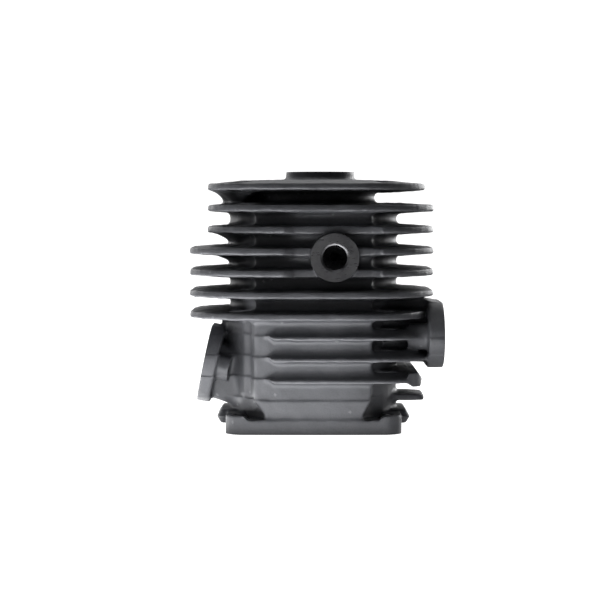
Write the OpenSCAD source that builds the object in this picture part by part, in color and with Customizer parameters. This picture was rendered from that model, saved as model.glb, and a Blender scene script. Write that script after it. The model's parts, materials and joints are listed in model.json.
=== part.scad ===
// Air-cooled two-stroke cylinder: barrel, head and cooling fins in one casting, with the piston
// that runs in it. The origin is the centre of the bore on the crankcase joint face.
// +Z runs up the bore to the spark plug, +X to the exhaust and -Y to the decompression port.
// The casting's regions are nodes of their own, which meet face to face: the casting_ modules.

/* [Bore and stroke] */
// Bore diameter, inside the plating
bore_d = 50; // [49:0.5:51]
// Piston travel between the dead centres
stroke = 34; // [33:0.5:34]
// Height of the squish face above the joint face
bore_top_z = 62.5; // [62.5:0.5:63]
// Thickness of the hard plating on the bore
plating_t = 0.12; // [0.1:0.02:0.2]
// Depth of the combustion chamber bowl
bowl_depth = 14.4; // [14:0.2:15]
// Radius of the bowl where it meets the squish face
bowl_r = 19; // [18.5:0.5:19.5]

/* [Casting] */
// Outside diameter of the barrel
barrel_d = 62.6; // [62:0.2:63]
// Width of the transfer bulges, front and rear
bulge_w = 42.4; // [41:0.2:43]
// Distance from the bore axis to the face of a transfer bulge
bulge_reach = 33.6; // [33:0.2:34]
// Width of the base flange
base_w = 64.4; // [64:0.2:66]
// Distance between the base bolts, intake side to exhaust side
bolt_x = 53; // [52.5:0.5:54]
// Distance between the base bolts, front to rear
bolt_y = 51; // [50.5:0.5:52]
// Diameter of the base bolt holes
bolt_hole_d = 6.6; // [6.4:0.1:7]

/* [Fins] */
// Distance between fins
fin_pitch = 7.85; // [7.8:0.05:7.9]
// Height of the top fin's middle plane
top_fin_z = 90.2; // [90:0.1:91]
// Fin thickness
fin_t = 2.2; // [1.8:0.1:2.4]
// Fin reach to the front and the rear
fin_reach_y = 41.5; // [40:0.5:43]
// Fin reach on the exhaust side
fin_reach_exhaust = 44.5; // [43.5:0.5:45]
// Fin reach on the intake side
fin_reach_intake = 45.9; // [44:0.1:47]

/* [Ports and flanges] */
// Tilt of the intake flange
intake_tilt = 11.5; // [10:0.5:13]
// Diameter of the spark plug boss
plug_boss_d = 25.6; // [24:0.2:25.6]
// Wall diameter of the M14 spark plug thread
plug_hole_d = 12.8; // [12.6:0.1:13]
// Diameter of the decompression boss
valve_boss_d = 17.6; // [16:0.2:17.6]
// Wall diameter of the M10 decompression valve thread
valve_hole_d = 9; // [8.9:0.1:9.2]

/* [Hidden] */
$fn = 96;
FINS = 11;
function fin_name(i) = str("casting_fin_", i < 9 ? "0" : "", i + 1);
FRONT = -1;
REAR = 1;
sides = [FRONT, REAR];
over = 1;

// Barrel and head
bore_r = bore_d / 2;
cast_bore_r = bore_r + plating_t;
barrel_r = barrel_d / 2;
function fin_z(i) = top_fin_z - i * fin_pitch;
barrel_top_z = fin_z(1) + fin_t / 2;
head_top_z = fin_z(0) - fin_t / 2;
core_r = 23;
core_web_x = -33.6;
core_web_w = 20;
lower_bulge_top_z = fin_z(6);
upper_bulge_reach = 31.8;
shoulder_outline = [[-bulge_w / 2, 18], [-bulge_w / 2, 29], [-22, 29], [-28, 13.5], [-26, 13.5]];
shoulder_low_z = 10.5;
shoulder_top_z = fin_z(6) - fin_t / 2;
bowl_sphere_r = (bowl_r * bowl_r + bowl_depth * bowl_depth) / (2 * bowl_depth);

// Piston travel, as the height of the crown
squish_gap = 0.7;
crown_tdc_z = bore_top_z - squish_gap;
crown_bdc_z = crown_tdc_z - stroke;

// Fins
fin_corner_r = 30;
last_short_fin = 2;
last_full_fin = 6;
last_low_fin = 9;
short_fin_reach = 39.2;
top_fin_reach = 41.4;
low_fin_reach_y = 36.6;
low_fin_end_x = -17;
low_fin_r = 47.5;
last_low_fin_reach = 39.9;
tab_w = 22;
tab_reach = 41.4;
relief_x = [-7, 21.7];
relief_y = -36.5;
relieved_fins = [2, 3, 4];

// Base flange
base_t = 5.2;
base_half_y = 33.6;
base_chamfer = 4;
lug_reach = 36;
lug_half_w = 15;
lug_z = [2.2, 7.3];
pad_t = 6.8;
pad_d = 13.4;
access_d = 8.8;

// Spark plug boss and decompression port
plug_x = 2.6;
plug_boss_top = 95.9;
plug_boss_low = 69.2;
valve_x = 7.6;
valve_z = 64.5;
valve_face_y = -38.5;
valve_thread_l = 12;
valve_drill_d = 3.3;
valve_chamfer = 0.9;
valve_end_y = valve_face_y + valve_thread_l;

// Exhaust side
exhaust_face_x = 48;
exhaust_flange_t = 5.5;
exhaust_back_x = exhaust_face_x - exhaust_flange_t;
exhaust_z = 35.2;
exhaust_flange_h = 24.3;
exhaust_half_w = 29;
exhaust_end_half_w = 16;
exhaust_screw_y = 22.5;
exhaust_port_half_w = 14.4;
exhaust_port_z = [crown_bdc_z, crown_bdc_z + 12.7];
exhaust_mouth_z = [28.1, 43];
duct_wall = 3.2;
screw_hole_d = 4.3;
exhaust_screw_depth = 12;
exhaust_pad_d = 9.6;
exhaust_pad_x = 34.6;

// Intake side
intake_face_x = -40.7;
intake_z = 24.7;
intake_flange_t = 4.8;
intake_flange_h = 28.2;
intake_half_w = 24;
intake_end_half_w = 13;
intake_screw_y = 18;
intake_screw_depth = 9;
intake_pad_d = 9;
intake_pad_l = intake_screw_depth + over - intake_flange_t;
intake_port_half_w = 12;
intake_port_z = [12.5, 23.5];
intake_mouth_half_h = 6.8;
// A place in the XZ plane, u outwards from the tilted intake face and v up along it
function intake_point(u, v) = [intake_face_x - u * cos(intake_tilt) + v * sin(intake_tilt),
                               intake_z + u * sin(intake_tilt) + v * cos(intake_tilt)];

// Transfer passages
transfer_x = [3, 16];
transfer_inner_r = 27.2;
transfer_outer_y = 30.6;
transfer_port_z = [crown_bdc_z, crown_bdc_z + 8.7];

// Piston, at rest where its skirt ends just above the joint face
skirt_rest_z = 1;
piston_l = 38;
crown_z = skirt_rest_z + piston_l;
piston_r = bore_r - 0.05;
piston_inner_r = 22;
crown_t = 5.5;
ring_z = [crown_z - 2.8, crown_z - 6];
ring_h = 1.2;
ring_clear = 0.02;
ring_inner_r = bore_r - 2.1;
groove_r = bore_r - 2.3;
ring_outer_r = bore_r - 0.02;
ring_gap = 0.4;
ring_notch_clear = 0.1;
ring_pin_d = 1.5;
ring_pin_inner_r = bore_r - 4.5;
ring_pin_outer_r = bore_r - 0.8;
ring_pin_angle = [139, -139];
pin_z = crown_z - 20;
pin_r = 5.5;
pin_bore_r = 3.3;
pin_half_l = 19.6;
pin_clear = 0.02;
pin_boss_r = 8.2;
pin_boss_y = 9;
pin_rib_t = 6;
pin_flat_y = 22.6;
pin_flat_w = 21;
pin_flat_top_z = crown_z - 10;
skirt_notch_r = 11;
skirt_notch_z = skirt_rest_z - 3;
clip_wire_d = 1.2;
clip_r = 5.35;
clip_y = 20.4;
clip_arc = 300;
clip_clear = 0.05;

// A rectangle from x0 to x1, 2 * half_y wide, with round corners
module round_box_2d(x0, x1, half_y, r) {
    translate([x0 + r, -half_y]) square([x1 - x0 - 2 * r, 2 * half_y]);
    translate([x0, r - half_y]) square([x1 - x0, 2 * (half_y - r)]);
    for (x = [x0 + r, x1 - r], y = sides) translate([x, y * (half_y - r)]) circle(r);
}

// An outline in the XZ plane, made 2 * half_w wide about Y = 0
module side_profile(points, half_w) {
    translate([0, half_w, 0]) rotate([90, 0, 0]) linear_extrude(2 * half_w) polygon(points);
}

// A cylinder along Y from y0 to y1
module along_y(x, z, y0, y1, r) {
    translate([x, y1, z]) rotate([90, 0, 0]) cylinder(h = y1 - y0, r = r);
}

module front_and_rear() {
    for (y = [0, 1]) mirror([0, y, 0]) children();
}

module in_each_quadrant() {
    for (x = [0, 1]) mirror([x, 0, 0]) front_and_rear() children();
}

module at_each_bolt() {
    for (x = sides, y = sides) translate([x * bolt_x / 2, y * bolt_y / 2, 0]) children();
}

// Moves children from the intake flange's own frame, with +Z outwards, to its tilted face
module at_intake_face() {
    translate([intake_face_x, 0, intake_z]) rotate([0, intake_tilt - 90, 0]) children();
}

// A flange outline, widest at mid height where its two screws are, in its own plane
module flange_2d(half_w, end_half_w, h) {
    square([2 * end_half_w, h], center = true);
    for (s = [0, 1]) mirror([s, 0]) translate([end_half_w, 0]) ear_2d(half_w - end_half_w, h / 2);
}

// A round ear that reaches out from a straight edge 2 * half_h long
module ear_2d(reach, half_h) {
    r = (reach * reach + half_h * half_h) / (2 * reach);
    root = 0.1;
    intersection() {
        translate([reach - r, 0]) circle(r);
        translate([-root, -half_h]) square([reach + root, 2 * half_h]);
    }
}

// Outer shapes that several regions of the casting share
module barrel_body() {
    cylinder(h = barrel_top_z, r = barrel_r);
}

module bulge_body() {
    translate([-bulge_w / 2, -bulge_reach, 0])
        cube([bulge_w, 2 * bulge_reach, lower_bulge_top_z]);
    translate([-bulge_w / 2, -upper_bulge_reach, 0])
        cube([bulge_w, 2 * upper_bulge_reach, barrel_top_z]);
}

// The lower barrel is filled out towards the bulges on its intake side
module shoulders() {
    for (side = [0, 1]) mirror([0, side, 0]) translate([0, 0, shoulder_low_z])
        linear_extrude(shoulder_top_z - shoulder_low_z) polygon(shoulder_outline);
}

module plug_boss_body() {
    translate([plug_x, 0, plug_boss_low])
        cylinder(h = plug_boss_top - plug_boss_low, d = plug_boss_d);
}

module decompression_boss_body() {
    along_y(valve_x, valve_z, valve_face_y, valve_end_y, valve_boss_d / 2);
}

module exhaust_duct_body() {
    side_profile([[0, exhaust_port_z[0] - duct_wall],
                  [exhaust_back_x, exhaust_mouth_z[0] - duct_wall],
                  [exhaust_back_x, exhaust_mouth_z[1] + duct_wall],
                  [0, exhaust_port_z[1] + duct_wall]], exhaust_port_half_w + duct_wall);
}

module exhaust_pads() {
    for (y = sides) translate([exhaust_pad_x, y * exhaust_screw_y, exhaust_z])
        rotate([0, 90, 0]) cylinder(h = exhaust_back_x - exhaust_pad_x, d = exhaust_pad_d);
}

module intake_pads() {
    at_intake_face() for (y = sides)
        translate([0, y * intake_screw_y, -intake_flange_t - intake_pad_l])
            cylinder(h = intake_pad_l, d = intake_pad_d);
}

// Space inside the casting
module combustion_chamber() {
    intersection() {
        translate([0, 0, bore_top_z + bowl_depth - bowl_sphere_r]) sphere(bowl_sphere_r);
        translate([0, 0, bore_top_z - over / 2]) cylinder(h = bowl_depth + over, r = bowl_r + over);
    }
}

module exhaust_passage() {
    side_profile([[bore_r / 2, exhaust_port_z[0]], [bore_r, exhaust_port_z[0]],
                  [exhaust_face_x + over, exhaust_mouth_z[0]],
                  [exhaust_face_x + over, exhaust_mouth_z[1]],
                  [bore_r, exhaust_port_z[1]], [bore_r / 2, exhaust_port_z[1]]],
                 exhaust_port_half_w);
}

module intake_passage() {
    side_profile([[-bore_r / 2, intake_port_z[0]], [-bore_r, intake_port_z[0]],
                  intake_point(0, -intake_mouth_half_h), intake_point(over, -intake_mouth_half_h),
                  intake_point(over, intake_mouth_half_h), intake_point(0, intake_mouth_half_h),
                  [-bore_r, intake_port_z[1]], [-bore_r / 2, intake_port_z[1]]],
                 intake_port_half_w);
}

// Passages that rise from the joint face and open into the bore through four windows
module transfer_passages() {
    w = transfer_x[1] - transfer_x[0];
    d = transfer_outer_y - bore_r / 2;
    in_each_quadrant() {
        translate([0, 0, -over]) linear_extrude(transfer_port_z[1] + over) difference() {
            translate([transfer_x[0], bore_r / 2]) square([w, d]);
            circle(transfer_inner_r);
        }
        translate([transfer_x[0], bore_r / 2, transfer_port_z[0]])
            cube([w, d, transfer_port_z[1] - transfer_port_z[0]]);
    }
}

// Straight ways down to the base bolts through every fin above them
module bolt_access() {
    at_each_bolt() translate([0, 0, pad_t]) cylinder(h = top_fin_z, d = access_d);
}

module casting_barrel() {
    color("dimgray") difference() {
        union() {
            cylinder(h = bore_top_z, r = barrel_r);
            shoulders();
        }
        translate([0, 0, -over]) cylinder(h = bore_top_z + 2 * over, r = cast_bore_r);
        bolt_access();
        exhaust_passage();
        intake_passage();
        transfer_passages();
        decompression_boss_body();
    }
}

// The roof of the bore, up to the underside of the top fin
module casting_head() {
    color("dimgray") difference() {
        union() {
            translate([0, 0, bore_top_z]) cylinder(h = barrel_top_z - bore_top_z, r = barrel_r);
            translate([0, 0, bore_top_z]) cylinder(h = head_top_z - bore_top_z, r = core_r);
            translate([core_web_x, -core_web_w / 2, barrel_top_z])
                cube([-core_web_x, core_web_w, head_top_z - barrel_top_z]);
        }
        combustion_chamber();
        plug_boss_body();
        decompression_boss_body();
        along_y(valve_x, valve_z, valve_face_y, -bowl_r / 2, valve_drill_d / 2);
    }
}

module casting_base_flange() {
    c = base_chamfer;
    w = base_w / 2;
    d = base_half_y;
    color("dimgray") difference() {
        union() {
            linear_extrude(base_t) polygon([[-w, c - d], [c - w, -d], [w - c, -d], [w, c - d],
                                            [w, d - c], [w - c, d], [c - w, d], [-w, d - c]]);
            at_each_bolt() cylinder(h = pad_t, d = pad_d);
            translate([-lug_reach, -lug_half_w, lug_z[0]])
                cube([2 * lug_reach, 2 * lug_half_w, lug_z[1] - lug_z[0]]);
        }
        translate([0, 0, -over]) cylinder(h = pad_t + 2 * over, r = barrel_r);
        translate([0, 0, base_t]) bulge_body();
        transfer_passages();
        at_each_bolt() translate([0, 0, -over]) cylinder(h = pad_t + 2 * over, d = bolt_hole_d);
    }
}

module casting_plug_boss() {
    color("dimgray") difference() {
        plug_boss_body();
        combustion_chamber();
        translate([plug_x, 0, plug_boss_low - over])
            cylinder(h = plug_boss_top - plug_boss_low + 2 * over, d = plug_hole_d);
    }
}

module casting_decompression_boss() {
    color("dimgray") difference() {
        decompression_boss_body();
        along_y(valve_x, valve_z, valve_face_y - over, valve_end_y + over, valve_hole_d / 2);
        translate([valve_x, valve_face_y, valve_z]) rotate([-90, 0, 0])
            cylinder(h = valve_chamfer, d1 = valve_hole_d + 2 * valve_chamfer, d2 = valve_hole_d);
    }
}

module casting_transfer_bulge(side) {
    color("dimgray") difference() {
        intersection() {
            bulge_body();
            translate([-bulge_w, side == FRONT ? -bulge_w : 0, base_t])
                cube([2 * bulge_w, bulge_w, barrel_top_z]);
        }
        translate([0, 0, -over]) cylinder(h = barrel_top_z + 2 * over, r = barrel_r);
        transfer_passages();
        decompression_boss_body();
    }
}

module casting_exhaust_duct() {
    color("dimgray") difference() {
        exhaust_duct_body();
        barrel_body();
        exhaust_passage();
    }
}

module casting_exhaust_flange() {
    color("dimgray") difference() {
        union() {
            translate([exhaust_back_x, 0, exhaust_z]) rotate([90, 0, 90])
                linear_extrude(exhaust_flange_t)
                    flange_2d(exhaust_half_w, exhaust_end_half_w, exhaust_flange_h);
            exhaust_pads();
        }
        exhaust_passage();
        for (y = sides)
            translate([exhaust_face_x - exhaust_screw_depth, y * exhaust_screw_y, exhaust_z])
                rotate([0, 90, 0]) cylinder(h = exhaust_screw_depth + over, d = screw_hole_d);
    }
}

module casting_intake_duct() {
    back = -intake_flange_t;
    reach = intake_mouth_half_h + duct_wall;
    color("dimgray") difference() {
        side_profile([[0, intake_port_z[0] - duct_wall], intake_point(back, -reach),
                      intake_point(back, reach), [0, intake_port_z[1] + duct_wall]],
                     intake_port_half_w + duct_wall);
        barrel_body();
        shoulders();
        intake_passage();
        intake_pads();
    }
}

module casting_intake_flange() {
    color("dimgray") difference() {
        union() {
            at_intake_face() translate([0, 0, -intake_flange_t])
                linear_extrude(intake_flange_t) rotate(90)
                    flange_2d(intake_half_w, intake_end_half_w, intake_flange_h);
            intake_pads();
        }
        intake_passage();
        at_intake_face() for (y = sides)
            translate([0, y * intake_screw_y, -intake_screw_depth])
                cylinder(h = intake_screw_depth + over, d = screw_hole_d);
    }
}

// A fin all the way round the head or the upper barrel
module full_fin_2d(i) {
    left = i <= last_short_fin ? short_fin_reach : fin_reach_intake;
    right = i == 0 ? top_fin_reach : i == last_full_fin ? exhaust_back_x : fin_reach_exhaust;
    round_box_2d(-left, right, fin_reach_y, fin_corner_r);
}

// A fin on the front, rear and exhaust sides of the lower barrel
module low_fin_2d(i) {
    reach = i == last_low_fin ? last_low_fin_reach : exhaust_back_x;
    intersection() {
        translate([low_fin_end_x, -low_fin_reach_y])
            square([reach - low_fin_end_x, 2 * low_fin_reach_y]);
        circle(low_fin_r);
    }
}

module tab_fin_2d() {
    translate([0, -tab_w / 2]) square([tab_reach, tab_w]);
}

module casting_fin(i) {
    low_z = fin_z(i) - fin_t / 2;
    color("dimgray") difference() {
        translate([0, 0, low_z]) linear_extrude(fin_t) {
            if (i <= last_full_fin) full_fin_2d(i);
            else if (i <= last_low_fin) low_fin_2d(i);
            else tab_fin_2d();
        }
        bolt_access();
        if (i == 0) plug_boss_body();
        else barrel_body();
        if (i > 0) bulge_body();
        if (i >= last_full_fin && i < last_low_fin) exhaust_duct_body();
        if (i > last_full_fin && i < last_low_fin) exhaust_pads();
        if (len(search(i, relieved_fins)) > 0) {
            decompression_boss_body();
            translate([relief_x[0], relief_y - bulge_w, low_z - over])
                cube([relief_x[1] - relief_x[0], bulge_w, fin_t + 2 * over]);
        }
    }
}

module bore_plating() {
    color("lightsteelblue") difference() {
        cylinder(h = bore_top_z, r = cast_bore_r);
        translate([0, 0, -over]) cylinder(h = bore_top_z + 2 * over, r = bore_r);
        exhaust_passage();
        intake_passage();
        transfer_passages();
    }
}

// The piston's crown, skirt and pin bosses, before its grooves and bores are cut
module piston_blank() {
    difference() {
        translate([0, 0, skirt_rest_z]) cylinder(h = piston_l, r = piston_r);
        translate([0, 0, skirt_rest_z - over])
            cylinder(h = piston_l - crown_t + over, r = piston_inner_r);
    }
    intersection() {
        translate([0, 0, skirt_rest_z]) cylinder(h = piston_l, r = piston_r - over);
        front_and_rear() {
            along_y(0, pin_z, pin_boss_y, bore_r, pin_boss_r);
            translate([-pin_rib_t / 2, pin_boss_y, pin_z])
                cube([pin_rib_t, bore_r - pin_boss_y, crown_z - pin_z - over]);
        }
    }
}

module ring_groove(i) {
    translate([0, 0, ring_z[i] - ring_h / 2 - ring_clear]) difference() {
        cylinder(h = ring_h + 2 * ring_clear, r = bore_r + over);
        translate([0, 0, -over]) cylinder(h = ring_h + 3 * over, r = groove_r);
    }
}

module ring_pin_body(i) {
    translate([0, 0, ring_z[i]]) rotate(ring_pin_angle[i]) translate([ring_pin_inner_r, 0, 0])
        rotate([0, 90, 0]) cylinder(h = ring_pin_outer_r - ring_pin_inner_r, d = ring_pin_d);
}

module piston() {
    groove_half_w = clip_wire_d / 2 + clip_clear;
    color("silver") difference() {
        piston_blank();
        for (i = [0, 1]) {
            ring_groove(i);
            ring_pin_body(i);
        }
        along_y(0, pin_z, -bore_r, bore_r, pin_r + pin_clear);
        front_and_rear() {
            along_y(0, pin_z, clip_y - groove_half_w, clip_y + groove_half_w,
                    clip_r + groove_half_w);
            translate([-pin_flat_w / 2, pin_flat_y, skirt_rest_z - over])
                cube([pin_flat_w, bore_r - pin_flat_y, pin_flat_top_z - skirt_rest_z + over]);
            along_y(0, skirt_notch_z, 0, bore_r, skirt_notch_r);
        }
    }
}

module ring_pin(i) {
    color("dimgray") ring_pin_body(i);
}

// A piston ring whose ends are notched round its locating pin
module piston_ring(i) {
    notch_w = ring_pin_d + 2 * ring_notch_clear;
    color("darkgray") translate([0, 0, ring_z[i]]) difference() {
        translate([0, 0, -ring_h / 2]) cylinder(h = ring_h, r = ring_outer_r);
        translate([0, 0, -ring_h]) cylinder(h = 2 * ring_h, r = ring_inner_r);
        rotate(ring_pin_angle[i]) translate([0, 0, -ring_h]) {
            translate([0, -ring_gap / 2, 0]) cube([bore_r, ring_gap, 2 * ring_h]);
            translate([0, -notch_w / 2, 0])
                cube([ring_pin_outer_r + ring_notch_clear, notch_w, 2 * ring_h]);
        }
    }
}

module gudgeon_pin() {
    color("gainsboro") difference() {
        along_y(0, pin_z, -pin_half_l, pin_half_l, pin_r);
        along_y(0, pin_z, -pin_half_l - over, pin_half_l + over, pin_bore_r);
    }
}

// A wire ring in its groove, with its gap downwards
module circlip(side) {
    color("slategray") translate([0, side * clip_y, pin_z]) rotate([90, 0, 0])
        rotate(270 + (360 - clip_arc) / 2) rotate_extrude(angle = clip_arc)
            translate([clip_r, 0]) circle(d = clip_wire_d);
}

casting_barrel();
casting_head();
casting_base_flange();
casting_plug_boss();
casting_decompression_boss();
casting_transfer_bulge(FRONT);  // casting_front_transfer_bulge
casting_transfer_bulge(REAR);  // casting_rear_transfer_bulge
casting_exhaust_duct();
casting_exhaust_flange();
casting_intake_duct();
casting_intake_flange();
for (i = [0 : FINS - 1]) casting_fin(i);
bore_plating();
piston();
piston_ring(0);  // upper_piston_ring
piston_ring(1);  // lower_piston_ring
ring_pin(0);  // upper_ring_pin
ring_pin(1);  // lower_ring_pin
gudgeon_pin();
circlip(FRONT);  // front_circlip
circlip(REAR);  // rear_circlip
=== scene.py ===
"""Looks for the two-stroke cylinder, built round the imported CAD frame.

The casting is worked out in millimetres as a field of distances to soft cast masses with
fillets. It is meshed, and then its machined faces, bore, ports and threads are cut crisply.
The piston and what it carries keep their CAD shapes and get their finishes here.
"""
import json
import math

import bmesh
import bpy
import numpy as np
import openvdb
from mathutils import Matrix, Vector


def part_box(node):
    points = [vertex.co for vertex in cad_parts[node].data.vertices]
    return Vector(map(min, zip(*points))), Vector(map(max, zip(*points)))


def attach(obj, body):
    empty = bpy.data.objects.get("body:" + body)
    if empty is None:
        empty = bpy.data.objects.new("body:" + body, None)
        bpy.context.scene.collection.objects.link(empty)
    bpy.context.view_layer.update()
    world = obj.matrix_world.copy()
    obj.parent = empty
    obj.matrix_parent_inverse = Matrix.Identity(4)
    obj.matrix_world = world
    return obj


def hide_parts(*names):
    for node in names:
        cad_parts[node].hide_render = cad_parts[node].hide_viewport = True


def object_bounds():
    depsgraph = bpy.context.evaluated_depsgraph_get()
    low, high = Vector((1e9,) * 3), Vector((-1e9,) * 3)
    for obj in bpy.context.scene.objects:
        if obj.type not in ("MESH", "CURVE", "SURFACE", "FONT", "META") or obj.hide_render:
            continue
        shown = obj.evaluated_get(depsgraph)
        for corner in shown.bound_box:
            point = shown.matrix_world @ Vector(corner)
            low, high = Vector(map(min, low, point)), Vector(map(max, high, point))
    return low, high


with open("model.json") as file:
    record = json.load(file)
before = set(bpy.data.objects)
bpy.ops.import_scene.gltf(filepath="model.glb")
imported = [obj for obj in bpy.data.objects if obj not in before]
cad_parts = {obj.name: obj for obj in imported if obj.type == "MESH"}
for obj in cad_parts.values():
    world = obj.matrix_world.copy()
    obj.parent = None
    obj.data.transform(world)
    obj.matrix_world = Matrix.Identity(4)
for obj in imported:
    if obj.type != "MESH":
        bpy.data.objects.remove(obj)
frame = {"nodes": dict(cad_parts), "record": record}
cad_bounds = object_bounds()

MM = 0.001
SIDES = (-1, 1)
STEP = 0.42

# ---------------------------------------------------------------- sizes from the frame, in mm


class Box:
    """A CAD box at rest, in millimetres."""

    def __init__(self, corners):
        low, high = corners
        self.x0, self.y0, self.z0 = (c / MM for c in low)
        self.x1, self.y1, self.z1 = (c / MM for c in high)
        self.x = (self.x0 + self.x1) / 2
        self.z = (self.z0 + self.z1) / 2


def mount(name):
    """A mount's place in mm, its outward axis and its dims, from the record."""
    found = next(m for m in frame["record"]["mounts"] if m["name"] == name)
    return Vector(found["pos_m"]) / MM, Vector(found["axis"]).normalized(), found["dims"]


CASTING_NODES = sorted(n for n in frame["nodes"] if n.startswith("casting_"))
FINS = [Box(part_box(n)) for n in CASTING_NODES if n.startswith("casting_fin_")]
WHOLE = Box(cad_bounds)
BARREL = Box(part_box("casting_barrel"))
BASE = Box(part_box("casting_base_flange"))
PLUG_BOSS = Box(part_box("casting_plug_boss"))
VALVE_BOSS = Box(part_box("casting_decompression_boss"))
BULGE = Box(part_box("casting_front_transfer_bulge"))
EXHAUST_FLANGE = Box(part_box("casting_exhaust_flange"))
EXHAUST_DUCT = Box(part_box("casting_exhaust_duct"))
PLATING = Box(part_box("bore_plating"))

INTAKE_AT, INTAKE_AXIS, INTAKE_SCREWS = mount("intake_screws")
EXHAUST_AT, EXHAUST_AXIS, EXHAUST_SCREWS = mount("exhaust_screws")
_, _, BASE_BOLTS = mount("base_bolts")
_, _, PLUG_THREAD = mount("spark_plug_thread")
_, _, VALVE_THREAD = mount("decompression_thread")

BARREL_R = 31.3
BOLT_X = BASE_BOLTS["spacing_x_mm"] / 2
BOLT_Y = BASE_BOLTS["spacing_y_mm"] / 2
PLUG_R = PLUG_BOSS.y1
VALVE_R = (VALVE_BOSS.z1 - VALVE_BOSS.z0) / 2
EXHAUST_SCREW_Y = EXHAUST_SCREWS["spacing_x_mm"] / 2
INTAKE_SCREW_Y = INTAKE_SCREWS["pcd_mm"] / 2

# ---------------------------------------------------------------- distance fields, in mm


def blend_min(a, b, k):
    """Union with a fillet of about 0.85 k."""
    h = np.maximum(k - np.abs(a - b), 0.0)
    return np.minimum(a, b) - h * h / (4 * k)


def blend_max(a, b, k):
    """Intersection with its edge rounded in the same way."""
    return -blend_min(-a, -b, k)


def box_2d(u, v, half_u, half_v, r):
    """A rectangle with round corners."""
    qu, qv = np.abs(u) - (half_u - r), np.abs(v) - (half_v - r)
    return np.hypot(np.maximum(qu, 0), np.maximum(qv, 0)) + np.minimum(np.maximum(qu, qv), 0) - r


def slab(outline, across, r):
    """An outline given thickness: across is the distance out from its two faces."""
    qu, qv = outline + r, across + r
    return np.hypot(np.maximum(qu, 0), np.maximum(qv, 0)) + np.minimum(np.maximum(qu, qv), 0) - r


def ramp(value, start, length):
    """0 up to start, then a smooth rise that reaches 1 after length."""
    t = np.clip((value - start) / length, 0.0, 1.0)
    return t * t * (3 - 2 * t)


def ripple(u, v, length):
    """A wavering number between about -1 and 1, for edges that aren't quite true."""
    k = 2 * math.pi / length
    wave = np.sin(k * u + 1.7) * np.sin(0.83 * k * v + 0.4) + np.sin(0.61 * k * (u - v) + 2.2)
    return 0.5 * wave + 0.35 * np.sin(1.9 * k * u + 0.9) * np.sin(1.6 * k * v)


class Field:
    """Distances to the surface on a grid, to which solids are added block by block."""

    FAR = 4.0

    def __init__(self, low, high, step):
        self.low, self.step = low, step
        self.axes = [np.arange(a, b, step, dtype=np.float32) for a, b in zip(low, high)]
        self.d = np.full([len(a) for a in self.axes], self.FAR, np.float32)

    def block(self, low, high):
        """The part of the grid inside a box, and its coordinates."""
        part = tuple(slice(*np.searchsorted(a, (lo, hi)))
                     for a, lo, hi in zip(self.axes, low, high))
        x, y, z = (a[p] for a, p in zip(self.axes, part))
        return part, x[:, None, None], y[None, :, None], z[None, None, :]

    def add(self, low, high, shape, k):
        """Adds a shape inside a block, with a fillet of size k where it meets the rest."""
        part, x, y, z = self.block(low, high)
        self.d[part] = blend_min(self.d[part], shape(x, y, z), k)

    def cut(self, low, high, shape, k):
        """Cuts a shape out inside a block, with its edge rounded by k."""
        part, x, y, z = self.block(low, high)
        self.d[part] = blend_max(self.d[part], -shape(x, y, z), k)

    def mesh(self, name):
        """The surface as a mesh, in millimetres."""
        grid = openvdb.FloatGrid(self.FAR)
        grid.copyFromArray(np.clip(self.d, -self.FAR, self.FAR))
        points, quads = grid.convertToQuads(0.0)
        points = points * self.step + np.array(self.low, np.float32)
        mesh = bpy.data.meshes.new(name)
        mesh.from_pydata(points.tolist(), [], quads.tolist())
        mesh.update()
        return mesh


# ---------------------------------------------------------------- the casting's cast masses

LAST_FULL_FIN = 6
THICK_END_FIN = 9
TAB_FIN = 10

FIN_RIM_T = 2.2
FIN_RIM_R = 0.55
FIN_RIM_LEAN = 0.1
FIN_DRAFT, FIN_DRAFT_DEPTH = 0.07, 12
FIN_CORNER_R = 30
LEFT_FILLET = {0: 6.0, 2: 3.2, 3: 2.4}
LEFT_FILLET_REACH = 9
TOP_FIN_CROWN, TOP_FIN_CROWN_R_SQUARED = 0.9, 1500

LOW_FIN_R = 47.5
LOW_FIN_RIM_R = 0.4
LOW_FIN_UP, LOW_FIN_DOWN = 0.45, 0.75
LOW_FIN_TAPER, LOW_FIN_TAPER_DEPTH = 0.55, 4.5
LOW_FIN_TIP_LIFT = 1.9
THICK_END_X = 33
THICK_END_UP, THICK_END_DOWN = 2.7, 1.6

HEAD_CORE_R = 23.0
PARTING_STEP, PARTING_RISE, PARTING_FADE = 0.3, 0.45, 6.0
MILLING_STOCK = 0.4
WELL_R, WELL_TOP = 6.4, 12.5
BOLT_WAY_R, BOLT_SEAT_Z = 4.5, 6.8


def fin_outline(i, x, y):
    """The outline of a fin in plan: round-cornered above, wrapping the exhaust side below."""
    box = FINS[i]
    if i <= LAST_FULL_FIN:
        return box_2d(x - box.x, y, (box.x1 - box.x0) / 2, box.y1, FIN_CORNER_R)
    if i == TAB_FIN:
        return box_2d(x - box.x1 / 2, y, box.x1 / 2, box.y1, 3.0)
    outer = blend_max(np.hypot(x, y) - LOW_FIN_R, np.abs(y) - box.y1, 5.0)
    return blend_max(blend_max(outer, x - box.x1, 2.0), box.x0 - x, 1.0)


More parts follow.
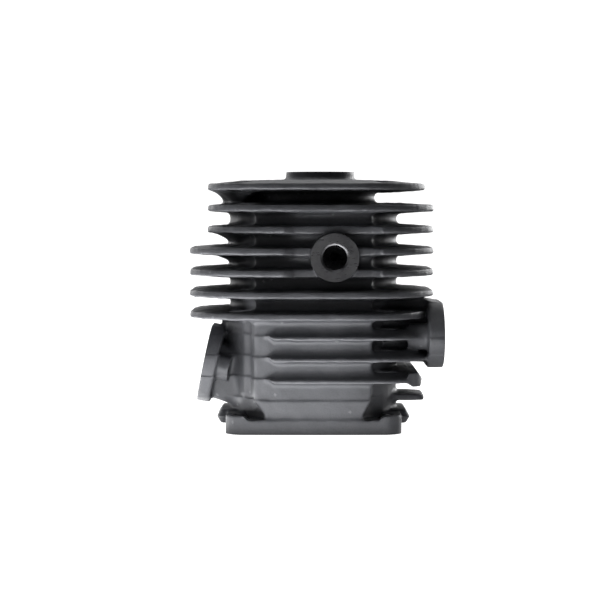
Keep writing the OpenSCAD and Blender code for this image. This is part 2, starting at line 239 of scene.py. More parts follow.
def fin_shape(i):
    """A fin that thickens towards the barrel, with a larger fillet below on the intake side."""
    box = FINS[i]
    fillet = LEFT_FILLET.get(i, 0.0)
    is_low = LAST_FULL_FIN < i <= THICK_END_FIN

    def shape(x, y, z):
        lean = FIN_RIM_LEAN * np.clip(z - box.z, -2, 2)
        edge = fin_outline(i, x, y) + 0.10 * ripple(x + 5 * i, y, length=7.0) + lean
        depth = np.clip(-edge, 0, FIN_DRAFT_DEPTH)
        half = FIN_RIM_T / 2 + FIN_DRAFT * depth
        up, down = half, half
        if i == 0:
            middle = np.clip(1 - (x * x + y * y) / TOP_FIN_CROWN_R_SQUARED, 0, 1)
            up = half + TOP_FIN_CROWN * middle
        if fillet:
            near = np.clip(1 - (np.hypot(x, y) - BARREL_R) / LEFT_FILLET_REACH, 0, 1) ** 2
            down = half + fillet * near * ramp(-x, 20, 9) * ramp(-np.abs(y), -24, 10)
        if is_low:
            up = LOW_FIN_UP + LOW_FIN_TAPER * np.clip(depth, 0, LOW_FIN_TAPER_DEPTH)
            down = LOW_FIN_DOWN - LOW_FIN_TIP_LIFT * (1 - ramp(x, box.x0, 3.0))
        if i == THICK_END_FIN:
            down = down + THICK_END_DOWN * ramp(x, THICK_END_X + 0.5, 3)
            up = np.maximum(up, THICK_END_UP * ramp(x, THICK_END_X, 2))
            above = z - box.z - 0.4
            edge = np.maximum(edge, x - box.x1 + np.maximum(0.75 * above, -0.3 * above))
        sag = 0.12 * ripple(x, y + 9 * i, length=11.0)
        across = np.maximum(z - box.z - up, box.z - down - z) + sag
        return slab(edge, across, LOW_FIN_RIM_R if is_low else FIN_RIM_R)

    return shape


def barrel_shape(x, y, z):
    """The barrel, and above its second fin the narrower core with a web to the intake side."""
    web_x, web_half_x, web_half_y = -15, 18.6, 10.0
    wide = np.maximum(np.hypot(x, y) - BARREL_R, z - FINS[1].z)
    web = box_2d(x - web_x, y, web_half_x, web_half_y, 4.0)
    core = blend_min(np.hypot(x, y) - HEAD_CORE_R, web, 3.0)
    return np.minimum(wide, np.maximum(core, np.maximum(z - FINS[0].z, FINS[1].z - z)))


def bulge_shape(side):
    """A transfer bulge: slightly convex, square-shouldered, and narrower towards the base."""
    narrowing, stand_above, convexity = 3.6, 0.9, 0.0016

    def shape(x, y, z):
        half_w = BULGE.x1 - narrowing * (1 - ramp(z, 4, 12))
        reach = np.where(z < FINS[LAST_FULL_FIN].z, -BULGE.y0, BARREL_R + stand_above)
        d = blend_max(np.abs(x) - half_w, side * y - (reach - convexity * x * x), 1.4)
        return np.maximum(np.maximum(d, -side * y), z - FINS[1].z)

    return shape


def base_shape(x, y, z):
    """The base flange, thicker at its bolts, with a lug at each end."""
    half_x, corner_cut, thin, thicker = 32.2, 4.4, 5.2, 1.6
    lug_half_y, lug_z, lug_half_h, lug_slope = 15.0, 4.8, 2.5, 0.62
    outline = box_2d(x, y, half_x, BASE.y1, 1.2)
    corner = (np.abs(x) + np.abs(y) - (half_x + BASE.y1 - corner_cut)) / math.sqrt(2)
    outline = blend_max(outline, corner, 2.0) + 0.08 * ripple(x, y, length=6.0)
    top = thin + thicker * ramp(np.abs(x), 23.5, 2.4)
    top = top + 0.16 * ripple(x, y, length=5.0)
    plate = slab(outline, np.maximum(z - top, -1.0 - z), 0.4)
    off = np.abs(z - lug_z)
    lug = slab(box_2d(x, y, BASE.x1, lug_half_y, 3.0) + lug_slope * off, off - lug_half_h, 0.4)
    return blend_min(plate, lug, 0.8)


def plug_boss_shape(x, y, z):
    """The spark plug's boss, with draft, up to a little past its milled seat."""
    draft = 0.035
    edge = np.hypot(x - PLUG_BOSS.x, y) - PLUG_R - draft * (PLUG_BOSS.z1 - z)
    d = blend_max(edge, z - PLUG_BOSS.z1 - MILLING_STOCK, 0.8)
    return np.maximum(d, FINS[1].z - z)


def valve_boss_shape(x, y, z):
    """The decompression valve's boss, with draft, up to a little past its turned face."""
    draft, turning_stock = 0.02, 0.5
    r = np.hypot(x - VALVE_BOSS.x, z - VALVE_BOSS.z)
    edge = r - VALVE_R - draft * (y - VALVE_BOSS.y0)
    return np.maximum(edge, VALVE_BOSS.y0 - turning_stock - y)


def flange_outline(y, up, half_w, half_h, narrowing):
    """A port's flange in its own plane, widest at mid height."""
    rise = np.clip(np.abs(up) / half_h, 0, 1)
    side = (np.abs(y) - (half_w - narrowing * rise ** 2.4)) * 0.8
    return blend_max(side, np.abs(up) - half_h, 4.0)


def exhaust_shape(x, y, z):
    """The exhaust flange with its duct, web and screw bosses."""
    half_h, thick = (EXHAUST_FLANGE.z1 - EXHAUST_FLANGE.z0) / 2, 5.5
    duct_half_h, web_half_w, web_slope, pad_r = 10.4, 14.0, 0.34, 4.8
    up = z - EXHAUST_FLANGE.z
    outline = flange_outline(y, up, EXHAUST_FLANGE.y1, half_h, 12.0)
    middle = EXHAUST_FLANGE.x1 - thick / 2
    plate = slab(outline, np.abs(x - middle) - thick / 2 - MILLING_STOCK, 0.8)
    duct = box_2d(y, z - EXHAUST_DUCT.z, EXHAUST_DUCT.y1, duct_half_h, 6.0)
    web_top = EXHAUST_FLANGE.z1 + 0.2 + web_slope * (EXHAUST_FLANGE.x1 - 4.0 - x)
    web = blend_max(z - web_top, np.abs(y) - web_half_w, 2.0)
    web = np.maximum(web, EXHAUST_FLANGE.z - z)
    pad = np.hypot(np.abs(y) - EXHAUST_SCREW_Y, up) - pad_r
    pad = np.maximum(pad, EXHAUST_FLANGE.x0 - x)
    behind = blend_min(np.minimum(duct, web), pad, 1.5)
    return blend_min(plate, np.maximum(behind, x - middle), 1.4)


def intake_shape(x, y, z):
    """The tilted intake flange with its duct and screw bosses."""
    half_w, half_h, thick = 24.0, 14.1, 4.8
    duct_half_w, duct_half_h, duct_slope, duct_drop = 15.2, 10.6, 0.36, 1.2
    pad_r, pad_depth, inner_x = 4.5, 9.5, -20
    nx, nz = INTAKE_AXIS.x, INTAKE_AXIS.z
    dx, dz = x - INTAKE_AT.x, z - INTAKE_AT.z
    out, up = dx * nx + dz * nz, dx * nz - dz * nx
    outline = flange_outline(y, up, half_w, half_h, 10.0)
    across = np.abs(out + thick / 2 - MILLING_STOCK / 2) - thick / 2 - MILLING_STOCK / 2
    plate = slab(outline, across, 0.8)
    along = z - INTAKE_AT.z + duct_slope * dx + duct_drop
    duct = box_2d(y, along, duct_half_w, duct_half_h, 5.0)
    pad = np.hypot(np.abs(y) - INTAKE_SCREW_Y, up) - pad_r
    pad = np.maximum(pad, -out - pad_depth)
    behind = np.maximum(blend_min(duct, pad, 1.5), out + thick / 2)
    return np.maximum(blend_min(plate, behind, 1.4), x - inner_x)


def shoulder_shape(side):
    """The intake side of the barrel, filled out towards the bulge beside it."""
    normal_x, normal_y, reach = -0.932, 0.362, 31.2
    inner_x, outer_y, low_z = -12.0, 31.5, 10.5

    def shape(x, y, z):
        face = x * normal_x + side * y * normal_y - reach
        d = blend_max(face, x - inner_x, 1.0)
        d = blend_max(d, side * y - outer_y, 2.5)
        d = np.maximum(np.maximum(d, -side * y), z - FINS[LAST_FULL_FIN].z)
        return blend_max(d, low_z - z, 3.0)

    return shape


def ledges(z, levels):
    """How far the surface stands out below each level, fading back in downwards."""
    lift = 0.0
    for level in levels:
        below = level - z
        fade = np.clip(1 - below / PARTING_FADE, 0, 1)
        lift = lift + PARTING_STEP * ramp(below, 0, PARTING_RISE) * fade
    return lift


def parting_steps(x, y, z):
    """Fine ledges, where the sliding parts of the die met."""
    intake_levels = [fin.z + 1.2 for fin in FINS[LAST_FULL_FIN + 1:]]
    exhaust_levels = (EXHAUST_FLANGE.z, EXHAUST_FLANGE.z - 6.4)
    foot_level = FINS[TAB_FIN].z + 0.9
    intake = ledges(z, intake_levels) * ramp(-x, 15, 2.5) * ramp(z, 6, 3)
    exhaust = ledges(z, exhaust_levels) * ramp(x, 41, 1.5)
    foot = ledges(z, (foot_level,)) * ramp(np.abs(y), 29, 2) * ramp(x, -20, 4)
    return intake + exhaust + foot * ramp(z, 7, 2) * ramp(-x, -22, 2)


def cut_at_bolts(field, r, end, half_w, z0, z1, k):
    """Cuts a round space at each base bolt, where end(z) is the distance past its end."""
    for sx in SIDES:
        for sy in SIDES:
            at_x, at_y = sx * BOLT_X, sy * BOLT_Y

            def shape(x, y, z):
                return np.maximum(np.hypot(x - at_x, y - at_y) - r, end(z))

            field.cut((at_x - half_w, at_y - half_w, z0), (at_x + half_w, at_y + half_w, z1),
                      shape, k)


def cut_fin_relief(field):
    """Three fins stop short beside the decompression boss."""
    middle, half_w, reach, half_h = 7.4, 14.3, 36.5, 11.0

    def shape(x, y, z):
        side = (np.abs(x - middle) - half_w + 0.8 * (y + reach)) * 0.78
        return np.maximum(blend_max(side, y + reach, 1.0), np.abs(z - FINS[3].z) - half_h)

    z0, z1 = FINS[4].z - 5, FINS[2].z + 5
    field.cut((-14, WHOLE.y0 - 2, z0), (28, -30, z1), shape, k=0.7)


def cast_masses():
    """Every cast mass of the cylinder, blended as one, each in a block that holds it."""
    pad = 2.4
    low = (WHOLE.x0 - pad, WHOLE.y0 - pad, WHOLE.z0 - pad)
    high = (WHOLE.x1 + pad, WHOLE.y1 + pad, WHOLE.z1 + pad)
    field = Field(low, high, STEP)
    field.add(low, high, barrel_shape, k=0.5)
    for side in SIDES:
        field.add((-27, low[1], low[2]), (27, high[1], FINS[0].z), bulge_shape(side), k=1.6)
        field.add((-38, low[1], 6), (-8, high[1], FINS[LAST_FULL_FIN].z),
                  shoulder_shape(side), k=3.0)
    # Room round the heads of the base bolts, at the foot of the barrel
    cut_at_bolts(field, WELL_R, lambda z: z - WELL_TOP, 10, 2, 18, k=2.0)
    field.add(low, (high[0], high[1], 12), base_shape, k=1.2)
    field.add((26, -34, 15), (high[0], 34, 58), exhaust_shape, k=2.2)
    field.add((low[0], -30, 4), (-18, 30, 45), intake_shape, k=2.2)
    for i, fin in enumerate(FINS):
        reach = 8.5 if i in LEFT_FILLET else 5.0
        field.add((low[0], low[1], fin.z - reach), (high[0], high[1], fin.z + reach),
                  fin_shape(i), k=2.0)
    field.add((-16, -18, FINS[1].z), (22, 18, high[2]), plug_boss_shape, k=1.4)
    # Straight ways through the fins down to the base bolts
    cut_at_bolts(field, BOLT_WAY_R, lambda z: BOLT_SEAT_Z - z, 7, 4, WHOLE.z1, k=0.9)
    cut_fin_relief(field)
    field.add((-6, low[1], 52), (22, -24, 78), valve_boss_shape, k=0.6)
    part, x, y, z = field.block(low, high)
    unevenness = 0.05 * ripple(x + 0.4 * z, y - 0.6 * z, length=9.0)
    field.d[part] += unevenness - parting_steps(x, y, z)
    return field


# ---------------------------------------------------------------- cutters, in mm

# Places in CASTING_MATERIALS, where 0 is the cast skin
MACHINED, ROUGH_PORT = 1, 2

PLUG_PITCH, VALVE_PITCH, SCREW_PITCH = 1.25, 1.0, 0.8


def mesh_object(name, mesh):
    obj = bpy.data.objects.new(name, mesh)
    bpy.context.scene.collection.objects.link(obj)
    return obj


def skin(rings, finish, place=Matrix()):
    """A closed solid over rings that all have the same number of points."""
    n = len(rings[0])
    bm = bmesh.new()
    verts = [[bm.verts.new(place @ Vector(p)) for p in ring] for ring in rings]
    for low, high in zip(verts, verts[1:]):
        for j in range(n):
            k = (j + 1) % n
            bm.faces.new((low[j], low[k], high[k], high[j]))
    bm.faces.new(verts[0])
    bm.faces.new(verts[-1])
    bmesh.ops.recalc_face_normals(bm, faces=bm.faces)
    for face in bm.faces:
        face.material_index = finish
    mesh = bpy.data.meshes.new("cutter")
    bm.to_mesh(mesh)
    bm.free()
    for material in CASTING_MATERIALS:
        mesh.materials.append(material)
    return mesh_object("cutter", mesh)


def circle(r, depth, n):
    return [(r * math.cos(2 * math.pi * j / n), r * math.sin(2 * math.pi * j / n), depth)
            for j in range(n)]


def lathe(profile, finish, place=Matrix(), n=96):
    """A solid turned about local Z from (radius, depth) pairs."""
    return skin([circle(r, depth, n) for r, depth in profile], finish, place)


def rounded(half_u, half_v, r, place, n=8):
    """A ring round a rectangle with round corners, where place maps (u, v) to a point."""
    ring = []
    for corner, (su, sv) in enumerate(((1, 1), (-1, 1), (-1, -1), (1, -1))):
        for j in range(n + 1):
            a = math.pi / 2 * (corner + j / n)
            ring.append(place(su * (half_u - r) + r * math.cos(a),
                              sv * (half_v - r) + r * math.sin(a)))
    return ring


def facing(at, axis):
    """A frame at a point of a face whose local +Z goes into the metal."""
    turn = (-axis).to_track_quat("Z", "X").to_matrix().to_4x4()
    return Matrix.Translation(at) @ turn


def tapped_hole(place, minor_r, pitch, length, end, n=64):
    """A threaded hole with a chamfered mouth, then (radius, depth) pairs below the thread."""
    height, chamfer, rings_per_turn = 0.54 * pitch, 0.2, 8
    rings = [circle(minor_r + height + 0.7, -0.5, n)]
    for i in range(int(length / pitch * rings_per_turn)):
        depth = i * pitch / rings_per_turn
        mouth = minor_r + height + chamfer - depth
        ring = []
        for j in range(n):
            turn = (depth / pitch - j / n) % 1
            groove = float(ramp(1.15 - abs(2 * turn - 1) * 1.3, 0, 1))
            r = max(minor_r + height * groove, mouth)
            a = 2 * math.pi * j / n
            ring.append((r * math.cos(a), r * math.sin(a), depth))
        rings.append(ring)
    rings += [circle(r, depth, n) for r, depth in [(minor_r, length)] + end]
    return skin(rings, MACHINED, place)


def half_space(place, half_w, half_h, reach=8.0):
    """What is milled off in front of a flat face."""
    corners = [(-half_w, -half_h), (half_w, -half_h), (half_w, half_h), (-half_w, half_h)]
    return skin([[(u, v, d) for u, v in corners] for d in (-reach, 0.0)], MACHINED, place)


def bore_cutter():
    """Bore and combustion chamber, with a chamfer at the bore's foot."""
    bowl_z, bowl_r, bowl_mouth_r, top = 57.9, 19.0, 18.9, BARREL.z1
    foot_r, chamfer, steps = 26.2, 1.1, 24
    profile = [(foot_r, -3), (foot_r, 0), (PLATING.x1, chamfer), (PLATING.x1, top),
               (bowl_mouth_r, top)]
    start = math.asin((top - bowl_z) / bowl_r) + 0.02
    for i in range(steps):
        a = start + (math.pi / 2 - start) * i / steps
        profile.append((bowl_r * math.cos(a), bowl_z + bowl_r * math.sin(a)))
    return lathe(profile + [(0.1, bowl_z + bowl_r)], ROUGH_PORT, n=160)


def exhaust_passage():
    """The exhaust port and its passage, with round corners."""
    half_w, corner_r = 14.4, 3.4
    stations = ((16, 27.8, 40.5), (25.4, 27.8, 40.5), (34, 27.9, 41.6), (50, 28.1, 43))
    rings = []
    for x, z0, z1 in stations:
        rings.append(rounded(half_w, (z1 - z0) / 2, corner_r,
                             lambda u, v, x=x, z=(z0 + z1) / 2: (x, u, z + v)))
    return skin(rings, ROUGH_PORT)


def intake_passage():
    """The intake port and its passage, which meets its tilted face squarely."""
    half_w, port_half_h, face_half_h, port_z = 12, 5.5, 6.8, 18
    side = Vector((INTAKE_AXIS.z, 0, -INTAKE_AXIS.x))
    rings = [rounded(half_w, port_half_h, 3.0, lambda u, v, x=x: (x, u, port_z + v))
             for x in (-16, -25.4)]
    for out in (0.0, 2.0):
        at = INTAKE_AT + INTAKE_AXIS * out
        rings.append(rounded(half_w, face_half_h, 4.0,
                             lambda u, v, at=at: at + side * v + Vector((0, u, 0))))
    return skin(rings, ROUGH_PORT)


def transfer_passages():
    """Four passages that rise inside the bulges and open into the bore."""
    x0, x1, inner_r, outer_y, top = 3.0, 16.0, 27.2, 30.6, 36.5
    window_half_h, window_inner_y, steps = 4.35, 17.0, 8
    cutters = []
    for sx in SIDES:
        for sy in SIDES:
            across = [x0 + (x1 - x0) * i / steps for i in range(steps + 1)]
            outline = [(sx * x, sy * math.sqrt(inner_r ** 2 - x * x)) for x in across]
            outline += [(sx * x1, sy * (outer_y - 1)), (sx * (x1 - 1), sy * outer_y),
                        (sx * (x0 + 1), sy * outer_y), (sx * x0, sy * (outer_y - 1))]
            rise = [[(x, y, z) for x, y in outline] for z in (-1.5, top - 0.02)]
            cutters.append(skin(rise, ROUGH_PORT))
            middle_x, middle_z = sx * (x0 + x1) / 2, top - window_half_h
            window = [rounded((x1 - x0) / 2, window_half_h, 1.4,
                              lambda u, v, y=y: (middle_x + u, y, middle_z + v))
                      for y in (sy * window_inner_y, sy * (outer_y - 0.3))]
            cutters.append(skin(window, ROUGH_PORT))
    return cutters


def holes():
    """Threaded holes, bolt holes and the faces that are machined flat."""
    plug_seat = Vector((PLUG_BOSS.x, 0, PLUG_BOSS.z1))
    valve_face = Vector((VALVE_BOSS.x, VALVE_BOSS.y0, VALVE_BOSS.z))
    up, front = Vector((0, 0, 1)), Vector((0, -1, 0))
    plug, valve, drilling = PLUG_THREAD["r_mm"], VALVE_THREAD["r_mm"], 1.65
    cutters = [
        tapped_hole(facing(plug_seat, up), plug, PLUG_PITCH, 19.5, [(plug, 23.0)]),
        tapped_hole(facing(valve_face, front), valve, VALVE_PITCH, 10.8,
                    [(valve, 12.0), (drilling, 13.6), (drilling, 24.0)]),
        lathe([(11.0, 0.0), (11.0, -7.0)], MACHINED, facing(valve_face, front)),
        half_space(facing(plug_seat, up), 16, 16),
        half_space(facing(Vector((0, 0, 0)), -up), 40, 38),
        half_space(facing(EXHAUST_AT, EXHAUST_AXIS), 34, 34),
        half_space(facing(INTAKE_AT, INTAKE_AXIS), 15, 30),
    ]
    # The last three: how deep the thread, the drilling and the drill's tip go
    screws = ((EXHAUST_AT, EXHAUST_AXIS, EXHAUST_SCREW_Y, EXHAUST_SCREWS, 10.4, 12.0, 13.2),
              (INTAKE_AT, INTAKE_AXIS, INTAKE_SCREW_Y, INTAKE_SCREWS, 8.0, 9.0, 10.2))
    for sy in SIDES:
        for middle, axis, from_middle, dims, thread, drilled, tip in screws:
            r = dims["hole_r_mm"]
            at = middle + Vector((0, sy * from_middle, 0))
            cutters.append(tapped_hole(facing(at, axis), r, SCREW_PITCH, thread,
                                       [(r, drilled), (0.1, tip)], n=40))
        for sx in SIDES:
            at = Matrix.Translation((sx * BOLT_X, sy * BOLT_Y, 0))
            r, chamfer = BASE_BOLTS["hole_r_mm"], 0.5
            cutters.append(lathe([(r + chamfer, -2), (r + chamfer, 0), (r, chamfer), (r, 9.0)],
                                 MACHINED, at, n=48))
    return cutters


def combine(target, tool, operation):
    """Applies a boolean to target and removes the tool."""
    modifier = target.modifiers.new("cut", "BOOLEAN")
    modifier.operation, modifier.solver, modifier.object = operation, "MANIFOLD", tool
    depsgraph = bpy.context.evaluated_depsgraph_get()
    mesh = bpy.data.meshes.new_from_object(target.evaluated_get(depsgraph))
    target.modifiers.remove(modifier)
    old, target.data = target.data, mesh
    bpy.data.meshes.remove(old)
    bpy.data.objects.remove(tool)


def make_casting():
    """The whole casting as one seamless piece."""
    casting = mesh_object("cylinder_casting", cast_masses().mesh("cast_masses"))
    for material in CASTING_MATERIALS:
        casting.data.materials.append(material)
    cutters = [bore_cutter(), exhaust_passage(), intake_passage()]
    cutters += transfer_passages() + holes()
    for tool in cutters[1:]:
        combine(cutters[0], tool, "UNION")
    combine(casting, cutters[0], "DIFFERENCE")
    casting.data.transform(Matrix.Scale(MM, 4))
    casting.data.polygons.foreach_set("use_smooth", [True] * len(casting.data.polygons))
    casting.data.set_sharp_from_angle(angle=math.radians(38))
    casting.data.name = "cylinder_casting"
    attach(casting, "cylinder")
    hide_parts(*CASTING_NODES)


# ---------------------------------------------------------------- materials

WORKED_METALS = (
    # name, dark, light, roughness, the axis its marks follow, their size in m, CAD nodes
    ("turned_piston", (0.42, 0.42, 0.43), (0.6, 0.6, 0.61), (0.3, 0.48), 2, 0.00025,
     ("piston",)),
    ("ring_steel", (0.2, 0.2, 0.21), (0.32, 0.32, 0.33), (0.24, 0.4), 2, 0.00015,
     ("upper_piston_ring", "lower_piston_ring")),
    ("ground_pin", (0.4, 0.4, 0.41), (0.56, 0.56, 0.57), (0.14, 0.28), 1, 0.0002,
     ("gudgeon_pin",)),
    ("spring_steel", (0.1, 0.1, 0.105), (0.17, 0.17, 0.175), (0.3, 0.45), 0, 0.0004,
     ("front_circlip", "rear_circlip", "upper_ring_pin", "lower_ring_pin")),
)


class Shader:
    """A material being built from nodes, with coordinates in the object's own metres."""

    def __init__(self, name, **settings):
        self.material = bpy.data.materials.new(name)
        self.material.use_nodes = True
        self.nodes = self.material.node_tree.nodes
        self.links = self.material.node_tree.links
        self.surface = self.nodes["Principled BSDF"]
        for socket, value in settings.items():
            self.surface.inputs[socket.replace("_", " ")].default_value = value
        self.place = self.nodes.new("ShaderNodeTexCoord").outputs["Object"]

    def node(self, kind, inputs=None, **settings):
        """A new node, each of whose inputs is linked or set to a value."""
        made = self.nodes.new("ShaderNode" + kind)
        for key, value in settings.items():
            setattr(made, key, value)
        for key, value in (inputs or {}).items():
            if isinstance(value, bpy.types.NodeSocket):
                self.links.new(value, made.inputs[key])
            else:
                made.inputs[key].default_value = value
        return made

    def noise(self, size, detail=3.0, stretch=(1, 1, 1), rough=0.55):
        """Noise whose features are about size metres across."""
        at = self.node("Mapping", {"Vector": self.place, "Scale": stretch}).outputs[0]
        return self.node("TexNoise", {"Vector": at, "Scale": 1 / size, "Detail": detail,
                                      "Roughness": rough}).outputs[0]

    def remap(self, value, low, high, to_low, to_high):
        return self.node("MapRange", {"Value": value, "From Min": low, "From Max": high,
                                      "To Min": to_low, "To Max": to_high}).outputs[0]

    def mix(self, amount, a, b):
        made = self.node("Mix", {"Factor": amount}, data_type="RGBA")
        for key, value in (("A", a), ("B", b)):
            socket = next(s for s in made.inputs if s.name == key and s.type == "RGBA")
            if isinstance(value, bpy.types.NodeSocket):
                self.links.new(value, socket)
            else:
                socket.default_value = (*value, 1)
        return next(s for s in made.outputs if s.type == "RGBA")

    def clouded(self, cloud, dark, light):
        """Two colours that drift into each other with a noise."""
        return self.mix(self.remap(cloud, 0.35, 0.65, 0, 1), dark, light)

    def bumps(self, *layers):
        """Bumps from (value, height in metres) pairs."""
        normal = None
        for value, height in layers:
            bump = self.node("Bump", {"Height": value, "Distance": height, "Strength": 1.0})
            if normal:
                self.links.new(normal, bump.inputs["Normal"])
            normal = bump.outputs[0]
        self.links.new(normal, self.surface.inputs["Normal"])

    def finish(self, colour, roughness):
        self.links.new(colour, self.surface.inputs["Base Color"])
        self.links.new(roughness, self.surface.inputs["Roughness"])
        return self.material


def cast_alloy():
    """Dark die-cast aluminium, satin, with a fine grain and sharp edges painted lighter: partly
    wear, partly a painted highlight.
    """
    s = Shader("dark_cast_alloy", Metallic=0.25)
    cloud = s.noise(0.012, 4.0)
    grain = s.noise(0.0007, 3.0)
    base = s.clouded(cloud, (0.068, 0.070, 0.077), (0.092, 0.094, 0.103))
    # Sharp edges and fin rims painted lighter: partly wear, partly a painted highlight where
    # they would catch the light
    edge = s.node("NewGeometry").outputs["Pointiness"]
    base = s.mix(s.remap(edge, 0.52, 0.6, 0, 0.55), base, (0.2, 0.203, 0.216))
    base = s.mix(s.remap(grain, 0.45, 0.75, 0, 0.3), base, (0.045, 0.045, 0.05))
    s.bumps((s.noise(0.0035, 4.0), 0.00008), (grain, 0.00004))
    return s.finish(base, s.remap(cloud, 0.3, 0.7, 0.44, 0.58))


def machined_alloy():
    """Faced and bored aluminium with tool marks."""
    s = Shader("machined_alloy", Metallic=0.85)
    marks = s.noise(0.0004, 2.0, (0.15, 0.15, 1.0))
    base = s.clouded(s.noise(0.008, 3.0), (0.13, 0.13, 0.137), (0.19, 0.19, 0.197))
    s.bumps((marks, 0.00001), (s.noise(0.0006, 2.0), 0.00001))
    return s.finish(base, s.remap(marks, 0.3, 0.7, 0.26, 0.42))


def port_alloy():
    """The grainier, uncoated casting inside the ports and the combustion chamber."""
    s = Shader("port_alloy", Metallic=0.7)
    grain = s.noise(0.0009, 3.0)
    base = s.clouded(s.noise(0.006, 4.0), (0.15, 0.15, 0.155), (0.24, 0.24, 0.245))
    s.bumps((s.noise(0.003, 4.0), 0.00012), (grain, 0.00006))
    return s.finish(base, s.remap(grain, 0.3, 0.7, 0.45, 0.65))


def worked_metal(name, dark, light, rough, marks_along, mark_size):
    """Turned or ground metal: fine marks that follow one another along an axis, and wear."""
    s = Shader(name, Metallic=0.9)
    stretch = [1.0 if i == marks_along else 0.02 for i in range(3)]
    marks = s.noise(mark_size, 2.0, stretch)
    scuffs = s.noise(0.0012, 5.0, rough=0.7)
    base = s.clouded(s.noise(0.006, 4.0), dark, light)
    base = s.mix(s.remap(scuffs, 0.58, 0.75, 0, 0.4), base, [0.5 * c for c in dark])
    base = s.mix(s.remap(marks, 0.4, 0.7, 0, 0.25), base, light)
    s.bumps((marks, 0.000012), (scuffs, 0.000008))
    return s.finish(base, s.remap(scuffs, 0.3, 0.7, *rough))


def honed_plating():
    """The plated bore, with the crossing marks of its honing."""
    s = Shader("honed_plating", Metallic=0.9)
    parts = s.node("SeparateXYZ", {0: s.place}).outputs
    angle = s.node("Math", {0: parts["Y"], 1: parts["X"]}, operation="ARCTAN2").outputs[0]
    marks = []
    for slope in (0.014, -0.014):
        height = s.node("Math", {0: angle, 1: slope, 2: parts["Z"]}, operation="MULTIPLY_ADD")
        at = s.node("CombineXYZ", {2: height.outputs[0]}).outputs[0]
        marks.append(s.node("TexNoise", {"Vector": at, "Scale": 2500, "Detail": 2}).outputs[0])
    hatch = s.node("Math", {0: marks[0], 1: marks[1]}, operation="MAXIMUM").outputs[0]
    base = s.clouded(s.noise(0.01, 4.0), (0.3, 0.3, 0.31), (0.42, 0.42, 0.43))
    base = s.mix(s.remap(hatch, 0.5, 0.75, 0, 0.4), base, (0.16, 0.16, 0.17))
    s.bumps((hatch, 0.00001), (s.noise(0.0008, 3.0), 0.000006))
    return s.finish(base, s.remap(hatch, 0.4, 0.7, 0.2, 0.38))


def dress(material, *names):
    """Gives a finish to CAD nodes that are shown as they are."""
    for name in names:
        for place in frame["nodes"][name].material_slots:
            place.material = material


CASTING_MATERIALS = [cast_alloy(), machined_alloy(), port_alloy()]

# ---------------------------------------------------------------- studio, in metres

# The glow lies on the floor at the near left, as the photograph's main light does
FLOOR_GLOW, FLOOR_DIM = 6.8, 0.1
GLOW_AT = (-0.05, -0.04)
GLOW_INNER, GLOW_OUTER = 0.05, 0.14
WORLD_FRONT = 0.0
WORLD_BACK = 0.7
# What the camera sees of the floor and the world, whatever light they give
WHITE = 1.2

LIGHTS = (
    # name, place, size, power
    ("overhead", (-0.15, -0.1, 0.9), 0.6, 2.2),
    ("left", (-0.8, -0.35, 0.25), 0.4, 0.25),
    ("right_rear", (0.52, 0.7, 0.3), 0.6, 6),
    ("left_rear", (-0.5, 0.7, 0.3), 0.6, 2),
)
LIGHTS_AIM = (0, 0, 0.045)

CAMERA_AT = (-0.005, -0.78, 0.083)
CAMERA_ANGLE = 16.55
CAMERA_DOWN = 2.6


def area_light(name, at, size, power):
    light = bpy.data.lights.new(name, "AREA")
    light.energy, light.size = power, size
    obj = bpy.data.objects.new(name, light)
    obj.location = at
    obj.rotation_euler = (Vector(LIGHTS_AIM) - Vector(at)).to_track_quat("-Z", "Y").to_euler()
    obj.visible_camera = False
    bpy.context.scene.collection.objects.link(obj)


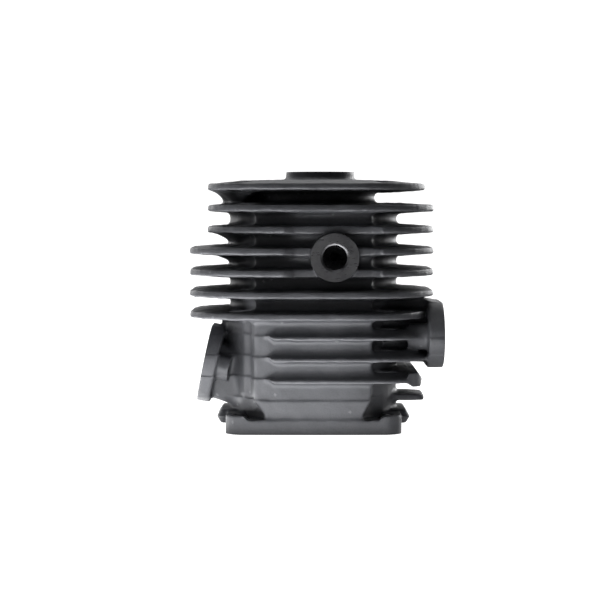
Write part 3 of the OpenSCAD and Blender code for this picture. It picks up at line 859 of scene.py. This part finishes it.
def make_floor():
    """A pale floor that glows near the object, open under its base and clear from below.

    The glow fades outwards, and beside and behind the object's foot. The camera sees it white.
    """
    outer, inner_x, inner_y, z = 1.5, 0.029, 0.030, -0.0002
    corners = ((-1, -1), (1, -1), (1, 1), (-1, 1))
    points = [(sx * outer, sy * outer, z) for sx, sy in corners]
    points += [(sx * inner_x, sy * inner_y, z) for sx, sy in corners]
    faces = [(i, (i + 1) % 4, 4 + (i + 1) % 4, 4 + i) for i in range(4)]
    mesh = bpy.data.meshes.new("floor")
    mesh.from_pydata(points, [], faces)
    floor = mesh_object("floor", mesh)
    s = Shader("pale_floor", Roughness=0.8)
    s.surface.inputs["Base Color"].default_value = (0.35, 0.35, 0.35, 1)
    s.surface.inputs["Emission Color"].default_value = (1, 1, 1, 1)
    away = s.node("VectorMath", {0: s.place, 1: (*GLOW_AT, z)}, operation="DISTANCE")
    glow = s.remap(away.outputs["Value"], GLOW_INNER, GLOW_OUTER, FLOOR_GLOW, FLOOR_DIM)
    parts = s.node("SeparateXYZ", {0: s.place}).outputs
    clear_of_foot = s.node("Math", {0: s.remap(parts["X"], -0.036, -0.065, 0.1, 1.0),
                                    1: s.remap(parts["Y"], -0.035, -0.065, 0.1, 1.0)},
                           operation="MAXIMUM").outputs[0]
    glow = s.node("Math", {0: glow, 1: clear_of_foot}, operation="MULTIPLY").outputs[0]
    seen = s.node("LightPath").outputs["Is Camera Ray"]
    glow = s.node("Mix", {0: seen, 2: glow, 3: WHITE}).outputs[0]
    s.links.new(glow, s.surface.inputs["Emission Strength"])
    clear = s.node("BsdfTransparent").outputs[0]
    below = s.node("NewGeometry").outputs["Backfacing"]
    shown = s.node("MixShader", {0: below, 1: s.surface.outputs[0], 2: clear}).outputs[0]
    s.links.new(shown, s.nodes["Material Output"].inputs["Surface"])
    mesh.materials.append(s.material)


def make_world():
    """White to look at, and as light on the object dark at the front and brighter behind."""
    world = bpy.data.worlds.new("studio")
    bpy.context.scene.world = world
    world.use_nodes = True
    nodes, links = world.node_tree.nodes, world.node_tree.links
    direction = nodes.new("ShaderNodeSeparateXYZ")
    links.new(nodes.new("ShaderNodeTexCoord").outputs["Generated"], direction.inputs[0])
    light = nodes.new("ShaderNodeMapRange")
    links.new(direction.outputs["Y"], light.inputs["Value"])
    for socket, value in (("From Min", -0.2), ("From Max", 0.8),
                          ("To Min", WORLD_FRONT), ("To Max", WORLD_BACK)):
        light.inputs[socket].default_value = value
    strength = nodes.new("ShaderNodeMix")
    links.new(nodes.new("ShaderNodeLightPath").outputs["Is Camera Ray"], strength.inputs[0])
    links.new(light.outputs[0], strength.inputs[2])
    strength.inputs[3].default_value = WHITE
    links.new(strength.outputs[0], nodes["Background"].inputs["Strength"])
    nodes["Background"].inputs["Color"].default_value = (1, 1, 1, 1)


def make_camera():
    """The photograph's view: straight on, a little above the middle."""
    camera = bpy.data.cameras.new("camera")
    camera.sensor_width = 36
    camera.angle = math.radians(CAMERA_ANGLE)
    camera.clip_start, camera.clip_end = 0.05, 50
    obj = bpy.data.objects.new("camera", camera)
    obj.location = CAMERA_AT
    obj.rotation_mode = "XYZ"
    obj.rotation_euler = (math.radians(90 - CAMERA_DOWN), 0, 0)
    bpy.context.scene.collection.objects.link(obj)
    bpy.context.scene.camera = obj


make_camera()
make_world()
make_floor()
for name, at, size, power in LIGHTS:
    area_light(name, at, size, power)
bpy.context.scene.view_settings.view_transform = "Standard"

make_casting()
dress(honed_plating(), "bore_plating")
for *settings, names in WORKED_METALS:
    dress(worked_metal(*settings), *names)
